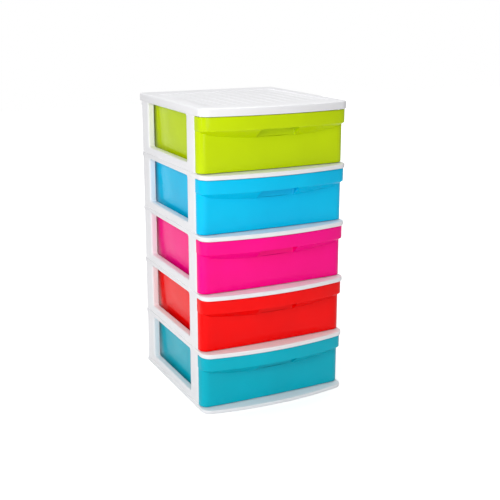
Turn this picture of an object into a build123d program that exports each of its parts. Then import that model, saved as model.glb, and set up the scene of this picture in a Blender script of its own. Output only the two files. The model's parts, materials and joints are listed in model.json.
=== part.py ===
from build123d import *
import math
import os

# Plastic drawer tower: five pull-out drawers in a white frame of moulded plates and side frames.
# Millimetres, +Z up. The origin is on the floor under the middle of the tower, and -Y is the
# front, where the drawers come out. Tier 1 is the top one.
#
# The frame is a stack. Each tier has a side frame left and right, which stands on the plate
# below and carries the plate above. Pegs on the ends of its posts plug into sockets in the plates.

# ---- Tower ----
tier_count = 5
bay_height = 130.0  # clear height between two plates
wall = 2.0  # moulded wall of the plates and side frames
rib_thickness = 1.5

# ---- Plates: cover, shelves and base ----
plate_width = 378.0
lip_to_rear_post = 381.0  # from the ends of the front lips back to the rear posts
lip_bow = 22.0  # the middle of a lip stands this far ahead of its ends
lip_corner_radius = 24.0
lip_edge_radius = 1.8
rear_corner_radius = 6.0
cover_height = 19.0
cover_edge_radius = 4.5
shelf_thickness = 10.5
base_thickness = 9.0
cover_rear_overhang = 12.0  # behind the rear posts
shelf_rear_overhang = 5.0
base_rear_overhang = 7.0
side_rib_count = 4  # ribs along each side, from the stop tab's channel out to the posts
cross_rib_count = 6

# ---- Panel sunk into the top of the cover ----
panel_depth = 1.2
panel_side_margin = 26.0
panel_front_margin = 36.0  # behind the ends of the front lip
panel_rear_margin = 56.0
panel_corner_radius = 8.0
panel_rib_count = 10
panel_rib_width = 3.0
panel_rib_height = 0.5

# ---- Side frames ----
side_inset = 2.0  # outer face of a side frame, inside the edge of the plates
frame_thickness = 15.0
post_setback = 39.5  # front post, behind the ends of the front lips
front_post_depth = 48.5
rear_post_depth = 44.0
sill_height = 18.0  # rail under the window
head_height = 2.6  # rail over the window
post_front_radius = 8.0
window_edge_radius = 4.0
window_corner_radius = 6.5
post_web_count = 2

# ---- Pegs on the ends of the posts, and their sockets in the plates ----
peg_thickness = 7.0
peg_breadth = 16.0
peg_length = 7.5
peg_chamfer = 1.2
peg_stagger = 10.5  # lower pegs ahead of the middle of the post, upper pegs behind it
socket_clearance = 0.2  # round a peg
socket_end_gap = 0.5  # past its tip
boss_margin = 2.0

# ---- Drawers ----
drawer_wall = 1.8
slide_clearance = 0.3  # between the drawer's floor and its runners
runner_height = 1.0
runner_width = 4.0
runner_inset = 14.0  # from the drawer's side to the middle of a runner
front_top_gap = 1.2  # under the plate above
front_post_gap = 1.5  # between the posts and the drawer's front when it is shut
face_inset = 2.0  # lower face: sides inside the edge of the plates
face_setback = 15.5  # lower face: ends behind the ends of the lips
face_bow = 5.0
face_corner_radius = 18.0
face_bottom_radius = 3.0
band_inset = 1.0  # grip band: sides inside the edge of the plates
band_setback = 5.5
band_bow = 25.0
band_corner_radius = 22.0
band_height = 31.0
slope_drop = 0.77  # fall of the sloping underside for each mm that the band stands ahead
slope_knee = 14.0  # inset from the band at which the slope's corners are behind the lower face
slope_corner_radius = 1.0  # corners that the lower face hides
grip_width = 98.0  # finger recess in the slope, under the band
grip_corner_radius = 4.0
tub_gap = 6.5  # between the side frames and the rim end of the drawer's sides
tub_draft = 2.0  # how much the sides and the back lean out from floor to rim
tub_rear_gap = 8.0  # from the drawer's back to the rear face of the posts
tub_corner_radius = 12.0
tub_top_gap = 4.0  # under the plate above
rim_width = 3.5
rim_height = 3.0

# ---- Guides and stop ----
guide_gap = 1.0  # beside the drawer's floor
guide_thickness = 2.0
guide_height = 4.0
stop_tab_width = 36.0
stop_tab_engagement = 4.5  # how far the tab reaches up behind the stop rib
stop_tab_clearance = 6.0  # beside the tab, to the ribs of its channel
stop_clearance = 0.3  # left between the tab and the stop rib at the end of the travel
drawer_travel = 290.0

# ---- Places worked out from the sizes above ----
half_width = plate_width / 2
total_depth = lip_bow + lip_to_rear_post + cover_rear_overhang
lip_end_y = lip_bow - total_depth / 2
rear_post_y = lip_end_y + lip_to_rear_post
post_front_y = lip_end_y + post_setback
window_front_y = post_front_y + front_post_depth
window_rear_y = rear_post_y - rear_post_depth
frame_outer_x = half_width - side_inset
frame_inner_x = frame_outer_x - frame_thickness
peg_x = (frame_outer_x + frame_inner_x) / 2
post_ys = [(post_front_y + window_front_y) / 2, (window_rear_y + rear_post_y) / 2]

front_rear_y = post_front_y - front_post_gap
drawer_bottom = runner_height + slide_clearance
drawer_top = bay_height - front_top_gap
band_bottom = drawer_top - band_height
face_apex_y = lip_end_y + face_setback - face_bow
band_apex_y = lip_end_y + band_setback - band_bow
slope_reach = face_apex_y - band_apex_y + drawer_wall
slope_bottom = band_bottom - slope_drop * slope_reach
tub_top = bay_height - tub_top_gap
tub_half_width = frame_inner_x - tub_gap
tub_rear_y = rear_post_y - tub_rear_gap
stop_rib_y = tub_rear_y - drawer_wall - drawer_travel - stop_clearance
guide_x = tub_half_width - tub_draft + guide_gap
channel_half_width = stop_tab_width / 2 + stop_tab_clearance

up = (0, 0, 1)


def block(x_min, x_max, y_min, y_max, z_min, z_max):
    """A straight block between two corners."""
    size = (x_max - x_min, y_max - y_min, z_max - z_min)
    middle = ((x_min + x_max) / 2, (y_min + y_max) / 2, (z_min + z_max) / 2)
    return Pos(*middle) * Box(*size)


def outline(half_width, front_y, rear_y, bow=0.0, front_radius=0.0, rear_radius=0.0):
    """Plan outline with a bowed front edge and rounded corners."""
    front_left, front_right = (-half_width, front_y), (half_width, front_y)
    rear_left, rear_right = (-half_width, rear_y), (half_width, rear_y)
    if bow > 0:
        front = ThreePointArc(front_left, (0, front_y - bow), front_right)
    else:
        front = Line(front_left, front_right)
    sides = Polyline(front_right, rear_right, rear_left, front_left)
    face = make_face([front, *sides.edges()])
    if front_radius > 0:
        face = fillet(face.vertices().group_by(Axis.Y)[0], front_radius)
    if rear_radius > 0:
        face = fillet(face.vertices().group_by(Axis.Y)[-1], rear_radius)
    return face


def prism(face, z_min, z_max):
    """A plan outline raised between two heights."""
    return Pos(0, 0, z_min) * extrude(face, z_max - z_min, dir=up)


def tapered(bottom_face, top_face, z_min, z_max):
    """A solid with straight sides from one plan outline to another of the same kind."""
    return loft([Pos(0, 0, z_min) * bottom_face, Pos(0, 0, z_max) * top_face], ruled=True)


# ---- Plates ----


def plate_outline(rear_y, inset=0.0):
    """Plan outline of a plate, or of the space inside its skirt."""
    return outline(
        half_width - inset,
        lip_end_y + inset,
        rear_y - inset,
        lip_bow,
        lip_corner_radius - inset,
        rear_corner_radius - inset,
    )


def plate_shell(thickness, rear_y, skin, top_radius):
    """A top skin with a skirt all round and ribs beneath, standing on z = 0."""
    body = prism(plate_outline(rear_y), 0, thickness)
    body = fillet(body.faces().sort_by(Axis.Z)[-1].edges(), top_radius)
    body = fillet(body.faces().sort_by(Axis.Z)[0].edges(), lip_edge_radius)
    hollow = prism(plate_outline(rear_y, wall), 0, thickness - skin)
    return body - hollow + (plate_ribs(rear_y, thickness - skin) & hollow)


def plate_ribs(rear_y, height):
    """Ribs of a plate: along its sides, beside the channel of the stop tab, and across."""
    bearing_x = frame_inner_x + rib_thickness / 2
    spacing = (bearing_x - channel_half_width) / (side_rib_count - 1)
    front_y = lip_end_y - lip_bow
    ribs = [rib_along_x(-half_width, half_width, stop_rib_y - rib_thickness, height)]
    for number in range(side_rib_count):
        x = channel_half_width + number * spacing
        for side in (-1, 1):
            ribs.append(rib_along_y(side * x, front_y, rear_y, height))
    for number in range(1, cross_rib_count + 1):
        y = lip_end_y + lip_to_rear_post * number / (cross_rib_count + 1)
        ribs.append(rib_along_x(-half_width, -channel_half_width, y, height))
        ribs.append(rib_along_x(channel_half_width, half_width, y, height))
    return Part() + ribs


def rib_along_y(x, y_min, y_max, height):
    half = rib_thickness / 2
    return block(x - half, x + half, y_min, y_max, 0, height)


def rib_along_x(x_min, x_max, y, height):
    return block(x_min, x_max, y, y + rib_thickness, 0, height)


def sockets_for_lower_pegs(thickness):
    """Holes in the top of a plate for the pegs under the posts of the tier above."""
    depth = peg_length + socket_end_gap
    return socket_holes(-peg_stagger, thickness - depth, thickness)


def sockets_for_upper_pegs():
    """Holes in the underside of a plate for the pegs on the posts of the tier below."""
    return socket_holes(peg_stagger, 0, peg_length + socket_end_gap)


def socket_holes(shift, z_min, z_max):
    half_x = peg_thickness / 2 + socket_clearance
    half_y = peg_breadth / 2 + socket_clearance
    hole = block(-half_x, half_x, shift - half_y, shift + half_y, z_min, z_max)
    return [Pos(side * peg_x, y, 0) * hole for side in (-1, 1) for y in post_ys]


def bosses(height):
    """Solid bosses for the sockets, from the bearing rib out past the pegs, up to the skin."""
    half_y = peg_stagger + peg_breadth / 2 + boss_margin
    outer_x = peg_x + peg_thickness / 2 + boss_margin
    solids = []
    for y in post_ys:
        solids.append(block(frame_inner_x, outer_x, y - half_y, y + half_y, 0, height))
        solids.append(block(-outer_x, -frame_inner_x, y - half_y, y + half_y, 0, height))
    return solids


def guides(z):
    """Two runners under a drawer's floor and a low guide beside each of its sides."""
    runner_x = tub_half_width - tub_draft - runner_inset
    y_min, y_max = post_front_y, rear_post_y
    strips = []
    for side in (-1, 1):
        near, far = sorted((side * (runner_x - runner_width / 2), side * (runner_x + runner_width / 2)))
        strips.append(block(near, far, y_min, y_max, z, z + runner_height))
        near, far = sorted((side * guide_x, side * (guide_x + guide_thickness)))
        strips.append(block(near, far, y_min, y_max, z, z + guide_height))
    return strips


def base_plate():
    body = plate_shell(base_thickness, rear_post_y + base_rear_overhang, wall, lip_edge_radius)
    body += guides(base_thickness)
    body += rest_pad()
    return body + bosses(base_thickness - wall) - sockets_for_lower_pegs(base_thickness)


def rest_pad():
    """The flat pad under the middle of the base, level with its skirt."""
    pad_radius = channel_half_width - rib_thickness
    return Pos(0, 0, base_thickness / 2) * Cylinder(pad_radius, base_thickness)


def shelf():
    body = plate_shell(shelf_thickness, rear_post_y + shelf_rear_overhang, wall, lip_edge_radius)
    body += guides(shelf_thickness)
    body += bosses(shelf_thickness - wall)
    return body - sockets_for_lower_pegs(shelf_thickness) - sockets_for_upper_pegs()


def top_cover():
    """The cover: a deeper skirt, a rounded top edge and a shallow ribbed panel on top."""
    rear_y = rear_post_y + cover_rear_overhang
    skin = wall + panel_depth
    body = plate_shell(cover_height, rear_y, skin, cover_edge_radius)
    x_max = half_width - panel_side_margin
    y_min, y_max = lip_end_y + panel_front_margin, rear_y - panel_rear_margin
    panel_face = Pos(0, (y_min + y_max) / 2) * RectangleRounded(
        2 * x_max, y_max - y_min, panel_corner_radius
    )
    floor_z = cover_height - panel_depth
    body -= prism(panel_face, floor_z, cover_height)
    pitch = 2 * x_max / (panel_rib_count + 1)
    for number in range(1, panel_rib_count + 1):
        x = number * pitch - x_max
        half = panel_rib_width / 2
        body += block(x - half, x + half, y_min, y_max, floor_z, floor_z + panel_rib_height)
    return body + bosses(cover_height - skin) - sockets_for_upper_pegs()


# ---- Side frames ----


def side_frame():
    """Left side frame of a tier: a C-section moulding round a window, open on its inner side."""
    frame_depth = rear_post_y - post_front_y
    window_depth = window_rear_y - window_front_y
    window_height = bay_height - sill_height - head_height
    face = Pos((post_front_y + rear_post_y) / 2, bay_height / 2) * Rectangle(frame_depth, bay_height)
    face -= Pos(
        (window_front_y + window_rear_y) / 2, sill_height + window_height / 2
    ) * RectangleRounded(window_depth, window_height, window_corner_radius)
    plane = Plane.YZ.offset(-frame_outer_x)
    solid = extrude(plane * face, frame_thickness)
    outer_face = solid.faces().sort_by(Axis.X)[0]
    solid = fillet(outer_face.edges().sort_by(Axis.Y)[0], post_front_radius)
    outer_face = solid.faces().sort_by(Axis.X)[0]
    solid = fillet(outer_face.inner_wires()[0].edges(), window_edge_radius)
    shell = offset(solid, -wall, openings=solid.faces().sort_by(Axis.X)[-1])
    shell += post_webs() & solid
    return shell + pegs()


def post_webs():
    """Cross webs that stiffen the posts."""
    webs = []
    for number in range(1, post_web_count + 1):
        z = bay_height * number / (post_web_count + 1)
        z_range = (z - rib_thickness / 2, z + rib_thickness / 2)
        webs.append(block(-frame_outer_x, -frame_inner_x, post_front_y, window_front_y, *z_range))
        webs.append(block(-frame_outer_x, -frame_inner_x, window_rear_y, rear_post_y, *z_range))
    return Part() + webs


def pegs():
    """Pegs with chamfered tips, down from the feet of both posts and up from their heads."""
    root = wall / 2
    body = Pos(0, 0, (peg_length - root) / 2) * Box(peg_thickness, peg_breadth, peg_length + root)
    upper = chamfer(body.faces().sort_by(Axis.Z)[-1].edges(), peg_chamfer)
    lower = mirror(upper, about=Plane.XY)
    solids = []
    for y in post_ys:
        solids.append(Pos(-peg_x, y - peg_stagger, 0) * lower)
        solids.append(Pos(-peg_x, y + peg_stagger, bay_height) * upper)
    return solids


# ---- Drawers ----


def face_outline(inset, rear_y):
    """Plan outline of the drawer's lower face, or of the space behind it."""
    return outline(
        half_width - face_inset - inset,
        lip_end_y + face_setback + inset,
        rear_y,
        face_bow,
        face_corner_radius - inset,
    )


def band_outline(inset, rear_y):
    """Plan outline of the drawer's grip band, moved in by the same inset all along the front."""
    band_half_width = half_width - band_inset
    bow_radius = (band_half_width**2 + band_bow**2) / (2 * band_bow) - inset
    x = band_half_width - inset
    bow = bow_radius - math.sqrt(bow_radius**2 - x**2)
    corner_radius = max(band_corner_radius - inset, slope_corner_radius)
    return outline(x, band_apex_y + inset + bow, rear_y, bow, corner_radius)


def slope(inset, top_z, rear_y):
    """Sloping underside from the band back into the lower face, at one angle all along."""
    top = band_outline(inset, rear_y)
    knee = band_outline(slope_knee, rear_y)
    end = band_outline(slope_reach, rear_y)
    knee_z = top_z - slope_drop * (slope_knee - inset)
    end_z = top_z - slope_drop * (slope_reach - inset)
    return tapered(knee, top, knee_z, top_z) + tapered(end, knee, end_z, knee_z)


def front_block():
    """Outside of the drawer's front: lower face, sloping underside and bowed grip band."""
    lower = prism(face_outline(0, front_rear_y), drawer_bottom, band_bottom)
    front_edges = lower.faces().sort_by(Axis.Z)[0].edges().sort_by(Axis.Y)[:-1]
    body = fillet(front_edges, face_bottom_radius)
    body += slope(0, band_bottom, front_rear_y)
    body += prism(band_outline(0, front_rear_y), band_bottom, drawer_top)
    return body - grip_recess(0)


def front_space():
    """Space inside the front, one wall smaller and open above and behind."""
    wall_rise = drawer_wall * math.hypot(1, slope_drop)
    top_z = band_bottom + wall_rise - slope_drop * drawer_wall
    rear_y = front_rear_y + drawer_wall
    body = prism(face_outline(drawer_wall, rear_y), drawer_bottom + drawer_wall, top_z)
    body += slope(drawer_wall, top_z, rear_y)
    body += prism(band_outline(drawer_wall, rear_y), top_z, drawer_top)
    return body - grip_recess(drawer_wall)


def grip_recess(margin):
    """Finger recess under the band, back to the lower face, grown by a margin of wall."""
    x = grip_width / 2 + margin
    room = block(-x, x, band_apex_y - band_bow, front_rear_y, slope_bottom, band_bottom + margin)
    top_edges = room.edges().filter_by(Axis.Y).group_by(Axis.Z)[-1]
    room = fillet(top_edges, grip_corner_radius + margin)
    behind = prism(face_outline(margin, front_rear_y), slope_bottom, band_bottom + margin)
    return room - behind


def tub_outline(half_width, rear_y, radius):
    """Plan outline of the drawer's tub, run forward through its front."""
    return outline(half_width, lip_end_y - lip_bow, rear_y, rear_radius=radius)


def tub_block(inset, floor_z):
    """The tub, which leans out from its floor to its rim."""
    top = tub_outline(tub_half_width - inset, tub_rear_y - inset, tub_corner_radius - inset)
    bottom = tub_outline(
        tub_half_width - tub_draft - inset,
        tub_rear_y - tub_draft - inset,
        tub_corner_radius - inset,
    )
    return tapered(bottom, top, floor_z, tub_top)


def rim():
    """Flange turned out round the top of the tub."""
    outer = outline(
        tub_half_width + rim_width,
        front_rear_y,
        tub_rear_y + rim_width,
        rear_radius=tub_corner_radius + rim_width,
    )
    return prism(outer, tub_top - rim_height, tub_top)


def stop_tab():
    """Tab on the back that meets the stop rib of the plate above when the drawer is out."""
    half = stop_tab_width / 2
    top = bay_height + stop_tab_engagement
    return block(-half, half, tub_rear_y - drawer_wall, tub_rear_y, tub_top - rim_height, top)


def drawer():
    """One drawer, in one moulding: bowed front, tub, rim and stop tab."""
    front = front_block()
    walls = tub_block(0, drawer_bottom) + rim()
    walls -= tub_block(drawer_wall, drawer_bottom + drawer_wall)
    x, y = half_width, rear_post_y
    behind = block(-x, x, front_rear_y, y, drawer_bottom, drawer_top)
    return front - front_space() + (walls & (front + behind)) + stop_tab()


# ---- Assembly ----


def save(part, name):
    export_step(part, "parts/" + name + ".step")


def main():
    os.makedirs("parts", exist_ok=True)
    save(base_plate(), "base")
    left_frame = side_frame()
    right_frame = mirror(left_frame, about=Plane.YZ)
    shelf_part, drawer_part = shelf(), drawer()
    pitch = bay_height + shelf_thickness
    for tier in range(1, tier_count + 1):
        floor_z = base_thickness + (tier_count - tier) * pitch
        save(Pos(0, 0, floor_z) * left_frame, f"side_frame_left_{tier}")
        save(Pos(0, 0, floor_z) * right_frame, f"side_frame_right_{tier}")
        save(Pos(0, 0, floor_z) * drawer_part, f"drawer_{tier}")
        if tier > 1:
            save(Pos(0, 0, floor_z + bay_height) * shelf_part, f"shelf_{tier - 1}")
        else:
            save(Pos(0, 0, floor_z + bay_height) * top_cover(), "top_cover")


main()
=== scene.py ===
# %% [markdown]
# # A plastic drawer tower
# Five glossy drawers slide in a white frame of plates and side frames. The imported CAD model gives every
# place and size. This lesson dresses it: each moulding is shaped again with Blender's own tools, with the
# soft edges, ribs and pegs that an injection mould leaves, and then gets its plastic.

# %% Load the frame
import json
import math
import bmesh
import bpy
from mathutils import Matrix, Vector


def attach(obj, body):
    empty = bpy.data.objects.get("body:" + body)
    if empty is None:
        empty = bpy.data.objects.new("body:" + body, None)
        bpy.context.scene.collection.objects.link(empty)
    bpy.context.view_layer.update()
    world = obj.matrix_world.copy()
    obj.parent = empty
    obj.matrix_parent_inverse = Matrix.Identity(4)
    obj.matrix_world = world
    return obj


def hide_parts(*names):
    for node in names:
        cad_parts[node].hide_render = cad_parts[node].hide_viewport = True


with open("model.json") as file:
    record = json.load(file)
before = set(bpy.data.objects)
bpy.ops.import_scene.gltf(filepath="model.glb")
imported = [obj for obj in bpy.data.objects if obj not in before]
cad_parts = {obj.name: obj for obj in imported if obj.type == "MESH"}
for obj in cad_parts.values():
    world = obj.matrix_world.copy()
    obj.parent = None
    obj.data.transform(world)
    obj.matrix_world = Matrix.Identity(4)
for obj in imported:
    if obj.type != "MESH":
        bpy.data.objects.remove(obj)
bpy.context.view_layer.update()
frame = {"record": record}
scene = bpy.context.scene

# %% [markdown]
# ## Camera
# The photograph looks from the front left and a little above, so the left side frames show as a narrow
# strip. A small downward shift keeps the verticals straight, as the photograph has them.

# %% Camera
pitch = math.radians(14.24)
yaw = math.radians(26.24)
bpy.ops.object.camera_add(location=(-0.9634, -1.9990, 0.9497), rotation=(math.pi / 2 - pitch, 0, -yaw))
camera = bpy.context.object
camera.name = "photo_camera"
camera.data.sensor_width = 36
camera.data.lens = 65.53
camera.data.shift_y = -0.04
camera.data.clip_end = 50
scene.camera = camera
scene.view_settings.view_transform = "Standard"
print("lens", round(camera.data.lens, 1), "mm")

# %% [markdown]
# ## Studio
# The tower stands on a white sweep. The floor is a plain pale surface that takes the tower's shadow. For
# the camera alone it also glows, more and more with distance, up to the white of the world, so no horizon
# shows. The light is plain: a large key softbox at the left, a low one in front that reaches under the
# lips, a wide one above, a narrow strip that draws a highlight, and a world that fills the shadows.

# %% Floor
bpy.ops.mesh.primitive_plane_add(size=12, location=(0, 0, 0))
floor = bpy.context.object
floor.name = "studio_floor"
floor_paint = bpy.data.materials.new("studio_white")
floor_paint.use_nodes = True
floor_nodes = floor_paint.node_tree.nodes
floor_links = floor_paint.node_tree.links
floor_shader = floor_nodes["Principled BSDF"]
floor_shader.inputs["Base Color"].default_value = (0.86, 0.86, 0.86, 1)
floor_shader.inputs["Roughness"].default_value = 1.0
floor_shader.inputs["Specular IOR Level"].default_value = 0.0
floor_path = floor_nodes.new("ShaderNodeLightPath")
floor_place = floor_nodes.new("ShaderNodeTexCoord")
distance = floor_nodes.new("ShaderNodeVectorMath")
distance.operation = "LENGTH"
fade_start, fade_end = 0.7, 2.2  # metres from the tower's middle
near_glow, far_glow = 0.42, 1.0
fade = floor_nodes.new("ShaderNodeMapRange")
for place, number in enumerate((fade_start, fade_end, near_glow, far_glow), 1):
    fade.inputs[place].default_value = number
lift = floor_nodes.new("ShaderNodeMath")
lift.operation = "MULTIPLY"
floor_links.new(floor_place.outputs["Object"], distance.inputs[0])
floor_links.new(distance.outputs["Value"], fade.inputs["Value"])
floor_links.new(fade.outputs["Result"], lift.inputs[1])
glow = floor_nodes.new("ShaderNodeEmission")
sum_of_both = floor_nodes.new("ShaderNodeAddShader")
floor_links.new(floor_path.outputs["Is Camera Ray"], lift.inputs[0])
floor_links.new(lift.outputs["Value"], glow.inputs["Strength"])
floor_links.new(floor_shader.outputs["BSDF"], sum_of_both.inputs[0])
floor_links.new(glow.outputs["Emission"], sum_of_both.inputs[1])
floor_links.new(sum_of_both.outputs["Shader"], floor_nodes["Material Output"].inputs["Surface"])
floor.data.materials.append(floor_paint)
print("floor", floor.dimensions[0], "m wide")

# %% World
fill_strength, backdrop_strength = 0.46, 1.0
world = bpy.data.worlds.new("studio_world")
world.use_nodes = True
scene.world = world
world_nodes = world.node_tree.nodes
world_links = world.node_tree.links
background = world_nodes["Background"]
background.inputs["Color"].default_value = (1, 1, 1, 1)
background.inputs["Strength"].default_value = fill_strength
white = world_nodes.new("ShaderNodeBackground")
white.inputs["Color"].default_value = (1, 1, 1, 1)
white.inputs["Strength"].default_value = backdrop_strength
light_path = world_nodes.new("ShaderNodeLightPath")
blend = world_nodes.new("ShaderNodeMixShader")
world_links.new(light_path.outputs["Is Camera Ray"], blend.inputs["Fac"])
world_links.new(background.outputs["Background"], blend.inputs[1])
world_links.new(white.outputs["Background"], blend.inputs[2])
world_links.new(blend.outputs["Shader"], world_nodes["World Output"].inputs["Surface"])
print("world:", fill_strength, "for the tower and", backdrop_strength, "for the camera")

# %% Lamps
def add_softbox(name, location, target, size, power, height=None):
    """An area lamp that looks at a target, square unless it gets a height."""
    bpy.ops.object.light_add(type="AREA", location=location)
    lamp = bpy.context.object
    lamp.name = name
    lamp.data.shape = "RECTANGLE"
    lamp.data.size = size
    lamp.data.size_y = height or size
    lamp.data.energy = power
    direction = Vector(target) - Vector(location)
    lamp.rotation_euler = direction.to_track_quat("-Z", "Y").to_euler()
    print(name, power, "W")


add_softbox("key_softbox", (-1.75, -1.45, 1.45), (0, 0, 0.35), 1.0, 28)
add_softbox("low_softbox", (-0.9, -2.5, 0.25), (0, 0, 0.4), 0.9, 7)
add_softbox("top_softbox", (0.3, 0.4, 2.8), (0, 0, 0.5), 1.6, 32)
add_softbox("strip_softbox", (-2.4, -0.6, 0.8), (0, -0.1, 0.4), 0.2, 3.5, 1.5)

# %% [markdown]
# ## Plastics
# All the pieces are injection moulded: the frame in a satin white, the drawers in glossy colours. What
# moulded plastic shows from close by is the same in all of them: a very fine orange-peel ripple, faint
# flow marks that change the gloss, rubbed marks from use, and a little dust on what faces up. These are
# two shader node groups, built once. Each material only gives them its own depth and its own colours.

# %% Node helpers
def new_group(name, inputs, outputs):
    """A shader node group with named number sockets, and its input and output nodes."""
    tree = bpy.data.node_groups.new(name, "ShaderNodeTree")
    for label, value in inputs:
        socket = tree.interface.new_socket(label, in_out="INPUT", socket_type="NodeSocketFloat")
        socket.default_value = value
    for label in outputs:
        tree.interface.new_socket(label, in_out="OUTPUT", socket_type="NodeSocketFloat")
    return tree, tree.nodes.new("NodeGroupInput"), tree.nodes.new("NodeGroupOutput")


def add_math(tree, operation, first, second):
    """A Math node, fed by sockets or plain numbers."""
    node = tree.nodes.new("ShaderNodeMath")
    node.operation = operation
    for place, value in enumerate((first, second)):
        if isinstance(value, (int, float)):
            node.inputs[place].default_value = value
        else:
            tree.links.new(value, node.inputs[place])
    return node.outputs["Value"]


def add_noise(tree, vector, scale, detail=2.0):
    """Noise per metre of object space."""
    node = tree.nodes.new("ShaderNodeTexNoise")
    node.inputs["Detail"].default_value = detail
    if isinstance(scale, (int, float)):
        node.inputs["Scale"].default_value = scale
    else:
        tree.links.new(scale, node.inputs["Scale"])
    tree.links.new(vector, node.inputs["Vector"])
    return node.outputs["Fac"]


def add_range(tree, value, from_min, from_max, to_min, to_max):
    """A Map Range node that keeps to its ends."""
    node = tree.nodes.new("ShaderNodeMapRange")
    for place, number in enumerate((from_min, from_max, to_min, to_max), 1):
        node.inputs[place].default_value = number
    tree.links.new(value, node.inputs["Value"])
    return node.outputs["Result"]


# %% Moulded skin group
skin, skin_in, skin_out = new_group("moulded_skin", [("Peel Scale", 700.0), ("Flow Scale", 9.0)],
                                    ["Height", "Flow", "Rub"])
place = skin.nodes.new("ShaderNodeTexCoord").outputs["Object"]
peel = add_noise(skin, place, skin_in.outputs["Peel Scale"], 1.0)
flow = add_noise(skin, place, skin_in.outputs["Flow Scale"], 3.0)
stretch = skin.nodes.new("ShaderNodeMapping")
stretch.inputs["Scale"].default_value = (18.0, 18.0, 320.0)
skin.links.new(place, stretch.inputs["Vector"])
hairs = add_noise(skin, stretch.outputs["Vector"], 1.0, 4.0)
patches = add_noise(skin, place, 14.0, 2.0)
fine_rubs = add_range(skin, hairs, 0.56, 0.7, 0.0, 1.0)
rubbed_patches = add_range(skin, patches, 0.5, 0.68, 0.0, 1.0)
rub = add_math(skin, "MULTIPLY", fine_rubs, rubbed_patches)
wavy = add_math(skin, "MULTIPLY", flow, 3.0)
skin.links.new(add_math(skin, "ADD", peel, wavy), skin_out.inputs["Height"])
skin.links.new(add_range(skin, flow, 0.35, 0.65, 0.0, 1.0), skin_out.inputs["Flow"])
skin.links.new(rub, skin_out.inputs["Rub"])
print("moulded_skin:", len(skin.nodes), "nodes")

# %% Settled dust group
dust, dust_in, dust_out = new_group("settled_dust", [("Amount", 0.3)], ["Dust"])
facing = dust.nodes.new("ShaderNodeNewGeometry")
split = dust.nodes.new("ShaderNodeSeparateXYZ")
dust.links.new(facing.outputs["Normal"], split.inputs["Vector"])
up = add_range(dust, split.outputs["Z"], 0.75, 0.98, 0.0, 1.0)
dust_place = dust.nodes.new("ShaderNodeTexCoord").outputs["Object"]
specks = add_range(dust, add_noise(dust, dust_place, 260.0, 3.0), 0.45, 0.75, 0.0, 1.0)
drifts = add_range(dust, add_noise(dust, dust_place, 11.0, 2.0), 0.4, 0.7, 0.2, 1.0)
amount = add_math(dust, "MULTIPLY", add_math(dust, "MULTIPLY", specks, drifts), up)
dust.links.new(add_math(dust, "MULTIPLY", amount, dust_in.outputs["Amount"]), dust_out.inputs["Dust"])
print("settled_dust:", len(dust.nodes), "nodes")

# %% Plastic materials
def mix_colour(tree, factor, first, second):
    """A colour between two, by a factor; each colour is a plain one or a socket."""
    node = tree.nodes.new("ShaderNodeMix")
    node.data_type = "RGBA"
    tree.links.new(factor, node.inputs["Factor"])
    for label, value in (("A", first), ("B", second)):
        socket = next(s for s in node.inputs if s.name == label and s.type == "RGBA")
        if isinstance(value, tuple):
            socket.default_value = (*value, 1)
        else:
            tree.links.new(value, socket)
    return next(s for s in node.outputs if s.type == "RGBA")


dust_colour = (0.62, 0.60, 0.57)


def make_plastic(name, colour, deep, roughness, peel_depth, dust_amount, specular):
    """A moulded plastic: its colour drifts towards a deeper one, and its gloss with flow and rubs."""
    material = bpy.data.materials.new(name)
    material.use_nodes = True
    tree = material.node_tree
    shader = tree.nodes["Principled BSDF"]
    skin_node = tree.nodes.new("ShaderNodeGroup")
    skin_node.node_tree = skin
    dust_node = tree.nodes.new("ShaderNodeGroup")
    dust_node.node_tree = dust
    dust_node.inputs["Amount"].default_value = dust_amount
    toned = mix_colour(tree, skin_node.outputs["Flow"], colour, deep)
    dusty = mix_colour(tree, dust_node.outputs["Dust"], toned, dust_colour)
    tree.links.new(dusty, shader.inputs["Base Color"])
    gloss = add_range(tree, skin_node.outputs["Flow"], 0.0, 1.0, roughness * 0.85, roughness * 1.15)
    rubbed = add_math(tree, "MULTIPLY", skin_node.outputs["Rub"], 0.06)
    matt = add_math(tree, "ADD", add_math(tree, "ADD", gloss, rubbed), dust_node.outputs["Dust"])
    tree.links.new(matt, shader.inputs["Roughness"])
    bump = tree.nodes.new("ShaderNodeBump")
    bump.inputs["Strength"].default_value = 1.0
    bump.inputs["Distance"].default_value = peel_depth
    tree.links.new(skin_node.outputs["Height"], bump.inputs["Height"])
    tree.links.new(bump.outputs["Normal"], shader.inputs["Normal"])
    shader.inputs["Specular IOR Level"].default_value = specular
    return material


plastics = {
    "white_plastic": make_plastic("white_satin_plastic", (0.83, 0.83, 0.85), (0.81, 0.81, 0.83),
                                  roughness=0.34, peel_depth=0.000012, dust_amount=0.06, specular=0.35),
}
drawer_colours = {
    "lime_plastic": ((0.55, 0.72, 0.0), (0.52, 0.68, 0.0)),
    "cyan_plastic": ((0.0, 0.54, 0.86), (0.0, 0.50, 0.82)),
    "pink_plastic": ((1.0, 0.0, 0.26), (0.97, 0.0, 0.235)),
    "red_plastic": ((0.95, 0.0, 0.0), (0.90, 0.0, 0.0)),
    "teal_plastic": ((0.0, 0.45, 0.58), (0.0, 0.42, 0.54)),
}
for slot, (colour, deep) in drawer_colours.items():
    plastics[slot] = make_plastic(slot.replace("_plastic", "_gloss_plastic"), colour, deep,
                                  roughness=0.16, peel_depth=0.000006, dust_amount=0.02, specular=0.16)
print("plastics:", sorted(plastics))

# %% [markdown]
# ## Tools of the bench
# Every moulding starts as a block, which is cut, pushed and rounded in edit mode. The helpers below only
# choose vertices, edges and faces by their place, as a hand would pick them. Sizes are in millimetres.

# %% Blocks and edit mode
mm = 0.001


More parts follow.
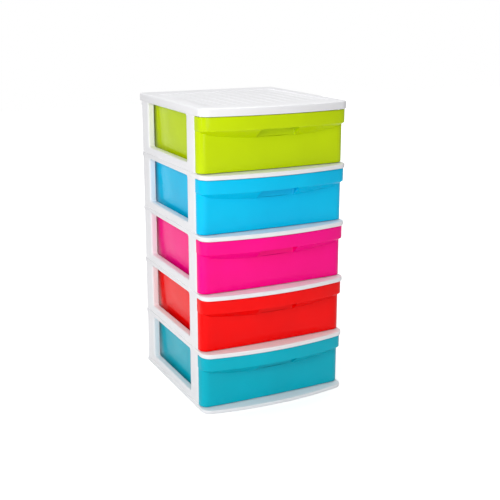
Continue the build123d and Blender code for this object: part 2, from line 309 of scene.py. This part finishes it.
def start_block(name, low, high):
    """A cube primitive stretched between two corners."""
    bpy.ops.object.select_all(action="DESELECT")
    size = [(h - l) * mm for l, h in zip(low, high)]
    centre = [(h + l) / 2 * mm for l, h in zip(low, high)]
    bpy.ops.mesh.primitive_cube_add(size=1, location=centre, scale=size)
    piece = bpy.context.object
    piece.name = name
    bpy.ops.object.transform_apply(location=True, rotation=True, scale=True)
    return piece


def open_mesh(piece):
    """Opens one piece in edit mode."""
    bpy.ops.object.select_all(action="DESELECT")
    bpy.context.view_layer.objects.active = piece
    piece.select_set(True)
    bpy.ops.object.mode_set(mode="EDIT")


def close_mesh():
    """Goes back to object mode, which keeps the edits."""
    bpy.ops.object.mode_set(mode="OBJECT")


# %% Choosing by place
def middle(item):
    """Middle of a vertex, edge or face, in millimetres."""
    if isinstance(item, bmesh.types.BMVert):
        return item.co / mm
    if isinstance(item, bmesh.types.BMEdge):
        return (item.verts[0].co + item.verts[1].co) / 2 / mm
    return item.calc_center_median() / mm


def near(a, b, tolerance=0.05):
    """True for two places closer than a tolerance."""
    return abs(a - b) < tolerance


def climbs(edge, least=1.0):
    """True for an edge whose ends differ in height by more than a few millimetres."""
    return abs(edge.verts[0].co.z - edge.verts[1].co.z) > least * mm


def lies_at(edge, axis, place):
    """True for an edge with both its ends at a place on one axis."""
    return all(near(vertex.co[axis] / mm, place) for vertex in edge.verts)


def rim_edge(edge, way):
    """True for an edge between a face that looks up or down (way) and an upright one."""
    turns = [face.normal.z * way for face in edge.link_faces]
    return len(turns) == 2 and max(turns) > 0.9 and min(turns) < 0.5


def pick(piece, kind, test):
    """Selects the vertices, edges or faces that pass a test."""
    bpy.ops.mesh.select_mode(type=kind)
    bpy.ops.mesh.select_all(action="DESELECT")
    shape = bmesh.from_edit_mesh(piece.data)
    shape.normal_update()
    items = {"VERT": shape.verts, "EDGE": shape.edges, "FACE": shape.faces}[kind]
    for item in [item for item in items if test(item)]:
        item.select_set(True)
    shape.select_flush_mode()
    bmesh.update_edit_mesh(piece.data)


# %% Cutting and pushing
def cut(piece, axis, places):
    """Cuts the whole mesh by planes across one axis."""
    for place in places:
        bpy.ops.mesh.select_all(action="SELECT")
        point, normal = [0, 0, 0], [0, 0, 0]
        point[axis], normal[axis] = place * mm, 1
        bpy.ops.mesh.bisect(plane_co=point, plane_no=normal)


def move_picked(x=0, y=0, z=0):
    """Moves what is picked."""
    bpy.ops.transform.translate(value=(x * mm, y * mm, z * mm))


def hollow_picked(border, x=0, z=0):
    """Insets the picked faces by a border and pushes what is inside it."""
    bpy.ops.mesh.inset(thickness=border * mm, use_even_offset=True)
    bpy.ops.mesh.extrude_region_move(TRANSFORM_OT_translate={"value": (x * mm, 0, z * mm)})


def round_edges(piece, radius, segments, test):
    """Rounds the edges that pass a test."""
    pick(piece, "EDGE", test)
    bpy.ops.mesh.bevel(offset=radius * mm, segments=segments, affect="EDGES",
                       clamp_overlap=False, loop_slide=False)


# %% Joining, finishing and copying
def join(pieces):
    """Makes one object of several, without changing their meshes."""
    bpy.ops.object.select_all(action="DESELECT")
    for piece in pieces:
        piece.select_set(True)
    bpy.context.view_layer.objects.active = pieces[0]
    bpy.ops.object.join()
    return pieces[0]


def combine(piece, other, operation):
    """Adds or cuts away another mesh with an applied Boolean modifier, and removes that mesh."""
    modifier = piece.modifiers.new("combine", "BOOLEAN")
    modifier.operation = operation
    modifier.object = other
    modifier.solver = "EXACT"
    modifier.use_self = True
    bpy.context.view_layer.objects.active = piece
    bpy.ops.object.modifier_apply(modifier=modifier.name)
    bpy.data.objects.remove(other)


def finish_shape(piece, angle=32):
    """Merges doubles and shades the rounded edges smooth, and prints what was made."""
    open_mesh(piece)
    bpy.ops.mesh.select_all(action="SELECT")
    bpy.ops.mesh.remove_doubles(threshold=0.005 * mm)
    close_mesh()
    bpy.ops.object.shade_smooth_by_angle(angle=math.radians(angle))
    shape = bmesh.new()
    shape.from_mesh(piece.data)
    loose = sum(1 for edge in shape.edges if len(edge.link_faces) != 2)
    print(piece.name, len(shape.faces), "faces,", loose, "open edges, volume",
          round(shape.calc_volume(signed=True) / mm**3 / 1000, 1), "cm3")
    shape.free()


def copy_to(piece, name, rise):
    """A copy with its own mesh, moved up by a rise, with its place kept in the mesh."""
    bpy.ops.object.select_all(action="DESELECT")
    bpy.context.view_layer.objects.active = piece
    piece.select_set(True)
    bpy.ops.object.duplicate()
    twin = bpy.context.object
    twin.name = name
    twin.location.z = rise * mm
    bpy.ops.object.transform_apply(location=True, rotation=True, scale=True)
    return twin


# %% [markdown]
# ## Sizes of the tower
# The same sizes that the CAD model is built from, in millimetres. The lips of the plates and the fronts
# of the drawers are bowed, so a helper gives how far a bow stands out at each place across the tower.

# %% Sizes
half_width = 189.0
lip_end_y, rear_post_y = -185.5, 195.5
lip_bow = 22.0
wall, rib, edge_radius = 2.0, 1.5, 1.8
bay_height, shelf_thickness, base_thickness, cover_height = 130.0, 10.5, 9.0, 19.0
frame_outer_x, frame_inner_x = 187.0, 172.0
post_front_y, window_front_y, window_rear_y = -146.0, -97.5, 151.5
window_bottom, window_top = 18.0, 127.4
post_ys = ((post_front_y + window_front_y) / 2, (window_rear_y + rear_post_y) / 2)
peg_x, peg_stagger, peg_length, socket_depth = 179.5, 10.5, 7.5, 8.0
peg_half_x, peg_half_y, peg_clearance = 3.5, 8.0, 0.2
tier_floors = {tier: base_thickness + (5 - tier) * (bay_height + shelf_thickness) for tier in range(1, 6)}
columns = [step * 15.0 for step in range(-11, 12)]


def bow_at(x, half, bow):
    """How far a bow stands ahead of its ends, x millimetres from the middle."""
    radius = (half**2 + bow**2) / (2 * bow)
    return math.sqrt(radius**2 - x**2) - math.sqrt(radius**2 - half**2)


def bow_front(piece, front_y, half, bow, places):
    """Moves each column of the front forward onto the bow."""
    for x in places:
        pick(piece, "VERT", lambda v: near(middle(v).x, x) and near(middle(v).y, front_y))
        move_picked(y=-bow_at(x, half, bow))


print("tier floors", tier_floors)

# %% [markdown]
# ## Side frame
# A side frame is a C-section moulding: two posts, a sill and a thin head round a window, open towards the
# drawer. The block is cut along the window's sides and the two window faces are bridged to make the hole.
# The pocket behind is an inset and an extrusion, so the wall is as thick all round as a moulding's. Webs
# stiffen the posts, and a flat peg stands at both ends of each, staggered so that two fit in one shelf.

# %% Tests for the window's edges
def in_window(p, slack=0.0):
    """True for a place within the window's outline, or within some slack of it."""
    return (window_front_y - slack < p.y < window_rear_y + slack
            and window_bottom - slack < p.z < window_top + slack)


def at_window_corner(edge):
    """True for an edge that runs through the frame at a corner of the window."""
    x, y, z = middle(edge)
    return (near(x, -peg_x) and min(abs(y - window_front_y), abs(y - window_rear_y)) < 0.1
            and min(abs(z - window_bottom), abs(z - window_top)) < 0.1)


def at_window_rim(edge):
    """True for an edge between the outer face of the frame and the window's wall."""
    if len(edge.link_faces) != 2 or min(face.normal.x for face in edge.link_faces) >= -0.9:
        return False
    return any(abs(face.normal.x) < 0.1 and in_window(middle(face), 1.0) for face in edge.link_faces)


# %% Side frame
def model_frame_shell():
    """The C-section round the window, on the left side of the tower."""
    uncut_height = bay_height + 6.0  # room above the window's rim until it is rounded
    piece = start_block("side_frame_shape", (-frame_outer_x, post_front_y, 0),
                        (-frame_inner_x, rear_post_y, uncut_height))
    open_mesh(piece)
    cut(piece, 1, (window_front_y, window_rear_y))
    cut(piece, 2, (window_bottom, window_top))
    pick(piece, "FACE", lambda f: abs(f.normal.x) > 0.9 and in_window(middle(f)))
    bpy.ops.mesh.bridge_edge_loops()
    round_edges(piece, 6.5, 6, at_window_corner)
    round_edges(piece, 8.0, 8, lambda e: lies_at(e, 0, -frame_outer_x)
                and near(middle(e).y, post_front_y) and climbs(e))
    round_edges(piece, 4.0, 5, at_window_rim)
    bpy.ops.mesh.select_all(action="SELECT")
    bpy.ops.mesh.bisect(plane_co=(0, 0, bay_height * mm), plane_no=(0, 0, 1),
                        use_fill=True, clear_outer=True)
    # the pocket behind the posts and the sill; the thin head above the window stays whole
    pick(piece, "FACE", lambda f: f.normal.x > 0.9 and not (
        middle(f).z > 125 and window_front_y < middle(f).y < window_rear_y))
    hollow_picked(wall, x=wall - (frame_outer_x - frame_inner_x))
    round_edges(piece, 6.0, 6, lambda e: near(middle(e).x, wall - frame_outer_x)
                and near(middle(e).y, post_front_y + wall))
    close_mesh()
    return piece


def model_webs():
    """Two webs across each post's pocket, bedded in its walls."""
    bed = 1.6
    webs = []
    for z in (bay_height / 3, 2 * bay_height / 3):
        for y_min, y_max in ((post_front_y, window_front_y), (window_rear_y, rear_post_y)):
            webs.append(start_block("web", (bed - frame_outer_x, y_min + bed, z - rib / 2),
                                    (-frame_inner_x - 0.2, y_max - bed, z + rib / 2)))
    return webs


def model_pegs():
    """A peg below and above each post, with its tip's edges rounded."""
    pegs = []
    lower = (-peg_stagger, -peg_length, 1.0, -peg_length)
    upper = (peg_stagger, bay_height - 1.0, bay_height + peg_length, bay_height + peg_length)
    for y in post_ys:
        for shift, z_min, z_max, tip in (lower, upper):
            peg = start_block("peg", (-peg_x - peg_half_x, y + shift - peg_half_y, z_min),
                              (-peg_x + peg_half_x, y + shift + peg_half_y, z_max))
            open_mesh(peg)
            round_edges(peg, 1.2, 2, lambda e: lies_at(e, 2, tip))
            close_mesh()
            pegs.append(peg)
    return pegs


side_frame = model_frame_shell()
combine(side_frame, join(model_webs() + model_pegs()), "UNION")
finish_shape(side_frame)

# %% [markdown]
# ## Plates
# The cover, the four shelves and the base are trays turned upside down: a skin with a skirt, a bowed lip
# in front and ribs beneath. Columns cut across a block let the front be pushed out into its bow. The
# corners and the lip's edges are bevels, and the hollow beneath is an inset pushed up to the skin.

# %% Plate shell
def model_plate(name, thickness, rear_y, skin_thickness, top_radius):
    """A skin with a skirt, standing on the floor."""
    piece = start_block(name, (-half_width, lip_end_y, 0), (half_width, rear_y, thickness))
    open_mesh(piece)
    cut(piece, 0, columns)
    bow_front(piece, lip_end_y, half_width, lip_bow, columns)
    for y, radius, segments in ((lip_end_y, 19.3, 10), (rear_y, 6.0, 5)):
        round_edges(piece, radius, segments, lambda e: near(abs(middle(e).x), half_width)
                    and near(middle(e).y, y) and climbs(e))
    round_edges(piece, top_radius, 5, lambda e: rim_edge(e, 1))
    round_edges(piece, edge_radius, 4, lambda e: rim_edge(e, -1))
    pick(piece, "FACE", lambda f: f.normal.z < -0.99 and middle(f).z < 0.1)
    hollow_picked(0.2, z=thickness - skin_thickness)
    close_mesh()
    return piece


# %% Ribs and bosses beneath a plate
stop_rib_y = -104.6
channel_x = 24.0
skirt_bed = 1.2


def under_plate(rear_y, height):
    """Ribs along and across the hollow of a plate, and the bosses that hold the posts' pegs.

    Each set starts and ends at a height of its own, so that no two faces share a plane.
    """
    blocks = []
    top = height + 0.6  # bedded in the skin
    side_x = half_width - skirt_bed
    spacing = (frame_inner_x + rib / 2 - channel_x) / 3
    for number in range(4):
        x = channel_x + number * spacing
        front_y = lip_end_y + 8.0  # the outermost rib ends behind the round corner
        if number < 3:
            front_y = lip_end_y - bow_at(x, half_width, lip_bow) + skirt_bed
        for side in (-1, 1):
            blocks.append(start_block("rib", (side * x - rib / 2, front_y, 0.2),
                                      (side * x + rib / 2, rear_y - skirt_bed, top)))
    blocks.append(start_block("rib", (-side_x, stop_rib_y - rib, 0.25), (side_x, stop_rib_y, top + 0.05)))
    for number in range(1, 7):
        y = lip_end_y + (rear_post_y - lip_end_y) * number / 7
        for side in (-1, 1):
            low, high = sorted((side * channel_x, side * side_x))
            blocks.append(start_block("rib", (low, y, 0.3), (high, y + rib, top + 0.1)))
    boss_half_y = peg_stagger + peg_half_y + wall
    for y in post_ys:
        for side in (-1, 1):
            low, high = sorted((side * frame_inner_x, side * (peg_x + peg_half_x + wall)))
            blocks.append(start_block("boss", (low, y - boss_half_y, 0.35),
                                      (high, y + boss_half_y, top + 0.15)))
    return blocks


# %% Sockets and runners
def sockets(shift, z_min, z_max):
    """Blocks the size of the pegs' sockets, to be cut away."""
    half_x, half_y = peg_half_x + peg_clearance, peg_half_y + peg_clearance
    return [start_block("socket", (side * peg_x - half_x, y + shift - half_y, z_min),
                        (side * peg_x + half_x, y + shift + half_y, z_max))
            for side in (-1, 1) for y in post_ys]


def sockets_above(thickness):
    """Sockets in the top of a plate, for the pegs of the posts that stand on it."""
    return sockets(-peg_stagger, thickness - socket_depth, thickness + 1)


def sockets_beneath():
    """Sockets in the underside of a plate, for the posts that carry it."""
    return sockets(peg_stagger, -1, socket_depth)


def on_plate(z):
    """Two runners that carry a drawer's floor, and a low guide beside each of its sides."""
    runner, guide = (147.5, 151.5, 1.0), (164.5, 166.5, 4.0)  # inner side, outer side, height
    blocks = []
    for side in (-1, 1):
        for near_x, far_x, height in (runner, guide):
            low, high = sorted((side * near_x, side * far_x))
            strip = start_block("strip", (low, post_front_y, z - 0.6), (high, rear_post_y, z + height))
            open_mesh(strip)
            round_edges(strip, 0.4, 2, lambda e: lies_at(e, 2, z + height))
            close_mesh()
            blocks.append(strip)
    return blocks


# %% Base and shelf
base_rear_y = rear_post_y + 7.0
base = model_plate("base_shape", base_thickness, base_rear_y, wall, edge_radius)
pad_radius, pad_height = 22.5, base_thickness - 1.0
bpy.ops.mesh.primitive_cylinder_add(vertices=48, radius=pad_radius * mm, depth=pad_height * mm,
                                    location=(0, 0, (0.2 + pad_height / 2) * mm))
rest_pad = bpy.context.object
bpy.ops.object.transform_apply(location=True, rotation=True, scale=True)
base_parts = under_plate(base_rear_y, base_thickness - wall) + on_plate(base_thickness) + [rest_pad]
combine(base, join(base_parts), "UNION")
combine(base, join(sockets_above(base_thickness)), "DIFFERENCE")
finish_shape(base)

shelf_rear_y = rear_post_y + 5.0
shelf = model_plate("shelf_shape", shelf_thickness, shelf_rear_y, wall, edge_radius)
shelf_parts = under_plate(shelf_rear_y, shelf_thickness - wall) + on_plate(shelf_thickness)
combine(shelf, join(shelf_parts), "UNION")
combine(shelf, join(sockets_above(shelf_thickness) + sockets_beneath()), "DIFFERENCE")
finish_shape(shelf)

# %% [markdown]
# ## Cover
# The cover is a deeper plate with a rounder edge. A shallow panel with rounded corners is sunk into its
# top, and ten low ribs run from front to back across it, so that what stands on it doesn't stick.

# %% Cover
cover_rear_y, cover_skin = rear_post_y + 12.0, 3.2
cover = model_plate("cover_shape", cover_height, cover_rear_y, cover_skin, 4.5)
panel_half, panel_depth = 163.0, 1.2
panel_front_y, panel_rear_y = lip_end_y + 36.0, cover_rear_y - 56.0
panel = start_block("panel", (-panel_half, panel_front_y, cover_height - panel_depth),
                    (panel_half, panel_rear_y, cover_height + 2))
open_mesh(panel)
round_edges(panel, 8.0, 8, climbs)
round_edges(panel, 0.5, 2, lambda e: rim_edge(e, -1))
close_mesh()
combine(cover, panel, "DIFFERENCE")

line_count, line_half, line_gap = 10, 1.5, 0.8
lines = []
for number in range(1, line_count + 1):
    x = number * 2 * panel_half / (line_count + 1) - panel_half
    line = start_block("line", (x - line_half, panel_front_y + line_gap, cover_height - 1.6),
                       (x + line_half, panel_rear_y - line_gap, cover_height - 0.7))
    open_mesh(line)
    round_edges(line, 0.4, 2, lambda e: rim_edge(e, 1))
    close_mesh()
    lines.append(line)
combine(cover, join(lines + under_plate(cover_rear_y, cover_height - cover_skin)), "UNION")
combine(cover, join(sockets_beneath()), "DIFFERENCE")
finish_shape(cover)

# %% [markdown]
# ## Drawer
# A drawer is one glossy moulding. Its front is a bowed grip band over a flatter lower face, with a sloping
# underside between them that is deep in the middle and dies away at the corners, because the band bows
# more than the face. Two blocks with the same columns are bowed, and their edges are bridged to make the
# slope. The finger recess is a block let into the slope, with a rounded hollow cut from it.

# %% Drawer front
band_half, band_end_y, band_bow, band_corner = 188.0, -180.0, 25.0, 22.0
face_half, face_end_y, face_bow, face_corner = 187.0, -170.0, 5.0, 18.0
drawer_floor, drawer_top, band_bottom, front_rear_y = 1.3, 128.8, 97.8, -147.5
drawer_wall = 1.8
slope_drop = 0.77  # how far the slope falls for each millimetre under the band
grip_x = 49.0
beside_grip = {side * x for side in (-1, 1) for x in (43.0, grip_x, 56.0)}
front_columns = sorted(set(columns) - {-60.0, -45.0, 45.0, 60.0} | beside_grip)


def overhang(x, y):
    """How far the band stands out past a point of the lower face."""
    x = abs(x)
    bow_radius = (band_half**2 + band_bow**2) / (2 * band_bow)
    centre_y = band_end_y - band_bow + bow_radius
    ahead = bow_radius - math.hypot(x, y - centre_y)
    corner_x, corner_y = band_half - band_corner, -160.0
    least = 0.9
    if x > corner_x:
        beside = band_corner - math.hypot(x - corner_x, min(0, y - corner_y))
        return max(least, min(ahead, beside)) if y < corner_y else max(least, band_half - x)
    return ahead


def model_front():
    """The front as one sheet, open above and behind."""
    lower_top = 70.0
    lower = start_block("lower", (-face_half, face_end_y, drawer_floor),
                        (face_half, front_rear_y, lower_top))
    band = start_block("band", (-band_half, band_end_y, band_bottom),
                       (band_half, front_rear_y, drawer_top))
    # the bowed corners are blunt or sharp, so each bevel's offset is a share of its radius
    for part, half, end_y, bow, offset in (
            (lower, face_half, face_end_y, face_bow, face_corner * 0.97),
            (band, band_half, band_end_y, band_bow, band_corner * 0.78)):
        open_mesh(part)
        cut(part, 0, front_columns)
        bow_front(part, end_y, half, bow, front_columns)
        round_edges(part, offset, 8, lambda e: near(abs(middle(e).x), half)
                    and near(middle(e).y, end_y) and climbs(e))
        pick(part, "FACE", lambda f: f.normal.y > 0.9 or f.normal.z > 0.9
             or (part is band and f.normal.z < -0.9))
        bpy.ops.mesh.delete(type="FACE")
        close_mesh()
    # each point of the lower face's top edge goes up to where the slope begins above it
    open_mesh(lower)
    top_edge = [v for v in bmesh.from_edit_mesh(lower.data).verts if near(v.co.z / mm, lower_top)]
    for x, y in sorted({(round(v.co.x / mm, 2), round(v.co.y / mm, 2)) for v in top_edge}):
        pick(lower, "VERT", lambda v: near(middle(v).x, x) and near(middle(v).y, y)
             and near(middle(v).z, lower_top))
        move_picked(z=band_bottom - slope_drop * overhang(x, y) - lower_top)
    close_mesh()
    front = join([lower, band])
    front.name = "drawer_shape"
    open_mesh(front)
    pick(front, "EDGE", lambda e: len(e.link_faces) == 1 and 70.5 < middle(e).z < 100.0
         and not climbs(e, 6) and not near(middle(e).y, front_rear_y, 0.01))
    bpy.ops.mesh.bridge_edge_loops()
    return front


# %% Walls and soft edges of the front
def thicken(piece, thickness):
    """Gives a sheet its wall, inwards from its outer face."""
    modifier = piece.modifiers.new("wall", "SOLIDIFY")
    modifier.thickness = thickness * mm
    modifier.offset = -1
    modifier.use_even_offset = True
    bpy.context.view_layer.objects.active = piece
    bpy.ops.object.modifier_apply(modifier=modifier.name)


def between(edge, test_a, test_b):
    """True for an edge whose two faces pass the two tests, in either order."""
    if len(edge.link_faces) != 2:
        return False
    a, b = edge.link_faces
    return (test_a(a) and test_b(b)) or (test_a(b) and test_b(a))


def is_front_wall(face):
    """True for an upright outer face of the front."""
    outwards = face.normal.y < -0.3 or face.normal.x * middle(face).x > 0.3 * abs(middle(face).x)
    return outwards and abs(face.normal.z) < 0.2


def at_foot(edge):
    """True for the front's outer edge along the floor."""
    return middle(edge).y < front_rear_y - 0.5 and between(
        edge, lambda f: f.normal.z < -0.9 and middle(f).z < 2, is_front_wall)


def at_band(edge):
    """True for the band's lower edge, where the slope begins."""
    return (middle(edge).y < front_rear_y - 0.5 and near(middle(edge).z, band_bottom, 0.1)
            and between(edge, lambda f: f.normal.z < -0.4,
                        lambda f: is_front_wall(f) and middle(f).z > band_bottom))


drawer = model_front()
bpy.ops.mesh.select_all(action="SELECT")
bpy.ops.mesh.normals_make_consistent(inside=False)
close_mesh()
thicken(drawer, drawer_wall)
open_mesh(drawer)
round_edges(drawer, 2.5, 4, at_foot)
round_edges(drawer, 1.0, 3, at_band)
close_mesh()
print("front:", len(drawer.data.polygons), "faces")

# %% Finger recess
recess_rear_y, block_rear_y = -175.05, -172.6
recess_roof_z = band_bottom + 0.2


def model_recess():
    """The block whose walls stay round the recess, and the hollow that is cut from it."""
    block_front_y, block_bottom, front_rise = band_end_y + 0.9, 76.4, 21.8
    block_x = grip_x + drawer_wall
    block = start_block("recess_block", (-block_x, block_front_y, block_bottom),
                        (block_x, block_rear_y, band_bottom + drawer_wall))
    open_mesh(block)
    places = [x for x in front_columns if abs(x) < grip_x]
    cut(block, 0, places)
    bow_front(block, block_front_y, band_half, band_bow, places + [-block_x, block_x])
    pick(block, "VERT", lambda v: middle(v).y < recess_rear_y and near(middle(v).z, block_bottom))
    move_picked(z=front_rise)
    close_mesh()
    hollow = start_block("recess_hollow", (-grip_x, -230.0, 60.0), (grip_x, recess_rear_y, recess_roof_z))
    open_mesh(hollow)
    round_edges(hollow, 5.0, 6, lambda e: rim_edge(e, 1) and middle(e).y > -229)
    round_edges(hollow, 4.0, 6, lambda e: near(abs(middle(e).x), grip_x)
                and near(middle(e).y, recess_rear_y) and middle(e).z < 80)
    close_mesh()
    return block, hollow


recess_block, recess_hollow = model_recess()
combine(drawer, recess_block, "UNION")
combine(drawer, recess_hollow, "DIFFERENCE")

# %% Tub
tub_half, tub_front_y, tub_rear_y, tub_top = 163.5, -169.6, 185.5, 126.0
tub_lean, rim_width = 2.0, 3.5
joint_y = -147.0  # behind this the tub's sides stand free of the front


def model_tub():
    """The box behind the front: it leans out to its rim, and its sides run on into the front."""
    piece = start_block("tub", (-tub_half, tub_front_y, drawer_floor + 0.4), (tub_half, tub_rear_y, tub_top))
    open_mesh(piece)
    for side in (-1, 1):
        pick(piece, "VERT", lambda v: middle(v).x * side > 0 and middle(v).z > 100)
        move_picked(x=tub_lean * side)
    pick(piece, "VERT", lambda v: middle(v).y > 0 and middle(v).z > 100)
    move_picked(y=tub_lean)
    round_edges(piece, 12, 6, lambda e: middle(e).y > 180 and climbs(e, 50))
    round_edges(piece, 3.0, 4, lambda e: rim_edge(e, -1) and middle(e).y > -169)
    rim_bottom = tub_top - 3.0
    foot_of_slope = 87.0
    cut(piece, 2, (foot_of_slope, band_bottom, rim_bottom))
    cut(piece, 1, (joint_y,))
    pick(piece, "FACE", lambda f: f.normal.z > 0.9 or f.normal.y < -0.9)
    bpy.ops.mesh.delete(type="FACE")
    pick(piece, "VERT", lambda v: middle(v).y < -169 and middle(v).z > band_bottom - 0.5)
    move_picked(y=-15.3)
    close_mesh()
    thicken(piece, drawer_wall)
    open_mesh(piece)
    pick(piece, "FACE", lambda f: middle(f).z > rim_bottom + 0.1 and middle(f).y > joint_y
         and abs(f.normal.z) < 0.3 and f.normal.x * middle(f).x + f.normal.y * middle(f).y > 20)
    bpy.ops.mesh.extrude_region_shrink_fatten(TRANSFORM_OT_shrink_fatten={"value": rim_width * mm})
    close_mesh()
    return piece


tub = model_tub()
tab_half, tab_top = 18.0, bay_height + 4.5
tab = start_block("tab", (-tab_half, tub_rear_y + 0.3, 123.3), (tab_half, tub_rear_y + 1.9, tab_top))
open_mesh(tab)
round_edges(tab, 4, 4, lambda e: near(abs(middle(e).x), tab_half) and middle(e).z > 134)
close_mesh()
combine(drawer, tub, "UNION")
combine(drawer, tab, "UNION")
finish_shape(drawer)

# %% [markdown]
# ## Assembly
# Every moulding is now copied to its places, with its place kept in the mesh. Each copy takes the place of
# its CAD node, moves with that node's body and takes the material of that node's slot. A right side frame
# is a mirrored left one, so its faces are turned to point outwards again.

# %% Mirror
def mirrored(piece, name):
    """A copy mirrored from left to right, with its faces outwards."""
    twin = copy_to(piece, name, 0)
    twin.scale.x = -1
    bpy.ops.object.transform_apply(location=True, rotation=True, scale=True)
    open_mesh(twin)
    bpy.ops.mesh.select_all(action="SELECT")
    bpy.ops.mesh.normals_make_consistent(inside=False)
    close_mesh()
    return twin


right_side_frame = mirrored(side_frame, "side_frame_right_shape")
print(right_side_frame.name, len(right_side_frame.data.polygons), "faces")

# %% Copies in place
slot_of = {part["node"]: part["material_slot"] for part in frame["record"]["subparts"]}


def put(template, node, rise):
    """A copy of a moulding at its height, in the place of a CAD node."""
    piece = copy_to(template, node + "_moulding", rise)
    body = node if node.startswith("drawer") else "tower_frame"
    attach(piece, body)
    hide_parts(node)
    piece.data.materials.clear()
    piece.data.materials.append(plastics[slot_of[node]])


put(base, "base", 0)
put(cover, "top_cover", tier_floors[1] + bay_height)
for tier, floor_z in tier_floors.items():
    put(drawer, "drawer_" + str(tier), floor_z)
    put(side_frame, "side_frame_left_" + str(tier), floor_z)
    put(right_side_frame, "side_frame_right_" + str(tier), floor_z)
    if tier < 5:
        put(shelf, "shelf_" + str(tier), floor_z - shelf_thickness)
for template in (base, cover, shelf, drawer, side_frame, right_side_frame):
    bpy.data.objects.remove(template)
